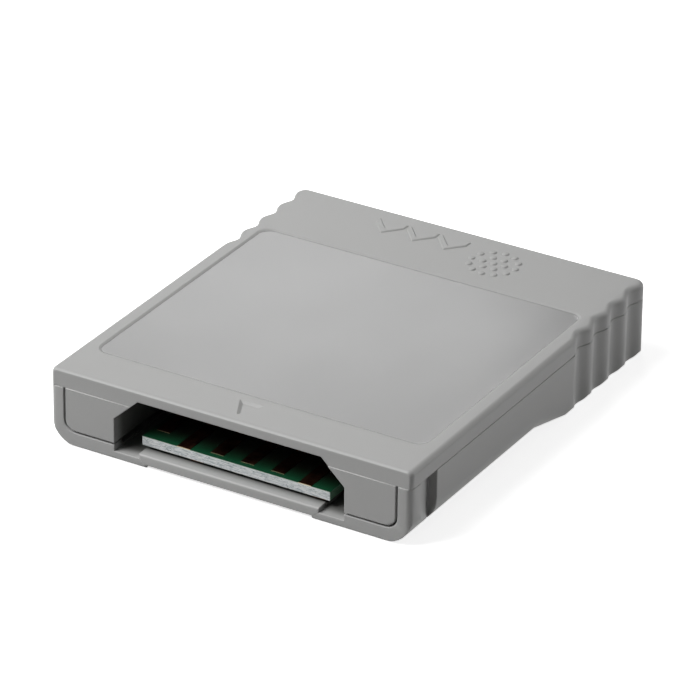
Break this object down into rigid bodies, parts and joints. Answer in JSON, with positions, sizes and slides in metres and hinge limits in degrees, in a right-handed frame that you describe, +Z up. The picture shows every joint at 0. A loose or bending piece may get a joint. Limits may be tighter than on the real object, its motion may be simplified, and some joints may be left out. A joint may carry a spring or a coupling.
{
  "type": "memory card adapter",
  "caption": "Flat grey plastic adapter that takes a small flash memory card in its grip end and plugs into a game console by a board edge connector.",
  "frame": {"origin": "middle of the underside, on the surface it lies on", "axes": "+Z up, +Y from the connector end to the grip end, +X to the right when seen from the connector end"},
  "size_m": [0.042, 0.049, 0.0084],
  "materials": {
    "shell_plastic": "fine matt",
    "board": "green solder mask, cut glass-fibre edge",
    "plating": "thin metal plating",
    "shield_steel": "stamped sheet",
    "socket_plastic": "moulded",
    "spring_metal": "plated spring metal",
    "chip_ceramic": "ceramic",
    "chip_resistor": "coated ceramic",
    "screw_steel": "plated steel"
  },
  "bodies": {
    "root": {"upper_shell": "shell_plastic", "lower_shell": "shell_plastic", "circuit_board": "board", "edge_contacts_top": "plating", "edge_contacts_bottom": "plating", "socket_shield": "shield_steel", "socket_base": "socket_plastic", "socket_contact_1": "spring_metal", "socket_contact_2": "spring_metal", "socket_contact_3": "spring_metal", "socket_contact_4": "spring_metal", "socket_contact_5": "spring_metal", "socket_contact_6": "spring_metal", "socket_contact_7": "spring_metal", "socket_contact_8": "spring_metal", "socket_contact_9": "spring_metal", "card_detect_spring": "spring_metal", "write_protect_spring": "spring_metal", "decoupling_capacitor": "chip_ceramic", "resistor_1": "chip_resistor", "resistor_2": "chip_resistor", "shell_screws": "screw_steel"}
  },
  "joints": []
}
